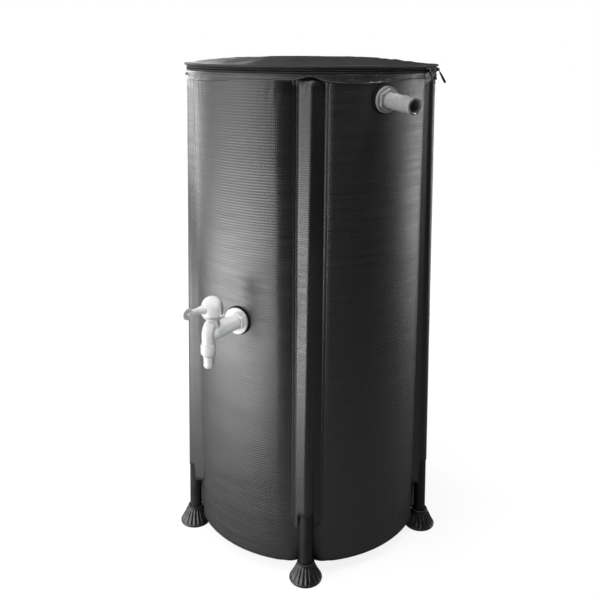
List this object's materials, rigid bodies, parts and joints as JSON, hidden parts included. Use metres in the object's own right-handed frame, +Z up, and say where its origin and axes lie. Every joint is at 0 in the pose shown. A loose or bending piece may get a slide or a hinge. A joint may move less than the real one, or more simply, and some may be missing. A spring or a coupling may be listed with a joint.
{
  "type": "collapsible rain barrel",
  "caption": "Round fabric rain barrel on support poles in welded sleeves, with ribbed feet, a zipped lid with a strainer, a ball tap and an overflow tail.",
  "frame": {"origin": "the tank's axis at ground level, under its floor", "axes": "+Z up along the tank's axis, -Y towards the tap"},
  "size_m": [0.4577, 0.5383, 0.7995],
  "materials": {
    "tank_fabric": "black coated mesh fabric, satin, with fine ribs",
    "lid_fabric": "black coated fabric, satin",
    "sleeve_fabric": "black coated mesh fabric, satin",
    "binding_tape": "black woven tape",
    "zip_tape": "black woven tape",
    "zip_coil": "black",
    "slider_metal": "black enamel",
    "strainer": "black open mesh",
    "pole_plastic": "black",
    "foot_rubber": "dark grey rubber",
    "tap_plastic": "white, glossy",
    "tap_ring": "grey",
    "gasket_rubber": "black",
    "overflow_plastic": "grey, semi-gloss"
  },
  "bodies": {
    "tank": {"ball_seats": "tap_plastic", "foot_1": "foot_rubber", "foot_2": "foot_rubber", "foot_3": "foot_rubber", "foot_4": "foot_rubber", "foot_5": "foot_rubber", "hose_tail": "tap_plastic", "lid_binding": "binding_tape", "lid_panel": "lid_fabric", "overflow_body": "overflow_plastic", "overflow_gasket": "gasket_rubber", "overflow_inner_gasket": "gasket_rubber", "overflow_lock_nut": "overflow_plastic", "pole_1": "pole_plastic", "pole_2": "pole_plastic", "pole_3": "pole_plastic", "pole_4": "pole_plastic", "pole_5": "pole_plastic", "retaining_ring": "tap_ring", "rim_band": "tank_fabric", "sleeve_1": "sleeve_fabric", "sleeve_2": "sleeve_fabric", "sleeve_3": "sleeve_fabric", "sleeve_4": "sleeve_fabric", "sleeve_5": "sleeve_fabric", "stem_seal": "gasket_rubber", "strainer_mesh": "strainer", "strainer_ring": "strainer", "tank_floor": "tank_fabric", "tap_body": "tap_plastic", "tap_gasket": "gasket_rubber", "tap_inner_gasket": "gasket_rubber", "tap_lock_nut": "tap_plastic", "union_nut": "tap_plastic", "union_washer": "gasket_rubber", "wall_panel_1": "tank_fabric", "wall_panel_2": "tank_fabric", "wall_panel_3": "tank_fabric", "wall_panel_4": "tank_fabric", "wall_panel_5": "tank_fabric", "zip_row_lower": "zip_coil", "zip_row_upper": "zip_coil", "zip_tape_lower": "zip_tape", "zip_tape_upper": "zip_tape"},
    "tap_handle": {"tap_handle": "tap_plastic", "valve_ball": "tap_plastic"},
    "zip_slider_a": {"zip_slider_a": "slider_metal"},
    "zip_slider_b": {"zip_slider_b": "slider_metal"},
    "zip_pull_a": {"zip_pull_a": "slider_metal"},
    "zip_pull_b": {"zip_pull_b": "slider_metal"}
  },
  "joints": [
    {"name": "tap_handle_turn", "type": "hinge", "parent": "tank", "child": "tap_handle", "pos_m": [0, -0.2532, 0.422], "axis": [0, 0, 1], "range_deg": [-75, 15]},
    {"name": "slider_a_run", "type": "hinge", "parent": "tank", "child": "zip_slider_a", "pos_m": [0, 0, 0.7809], "axis": [0, 0, 1], "range_deg": [0, 150]},
    {"name": "slider_b_run", "type": "hinge", "parent": "tank", "child": "zip_slider_b", "pos_m": [0, 0, 0.7809], "axis": [0, 0, 1], "range_deg": [-150, 0]},
    {"name": "pull_a_swing", "type": "hinge", "parent": "zip_slider_a", "child": "zip_pull_a", "pos_m": [0.18303, 0.07026, 0.7809], "axis": [0.3584, -0.9336, 0], "range_deg": [-27, 60]},
    {"name": "pull_b_swing", "type": "hinge", "parent": "zip_slider_b", "child": "zip_pull_b", "pos_m": [0.19593, 0.00684, 0.7809], "axis": [0.0349, -0.9994, 0], "range_deg": [-25, 60]}
  ]
}
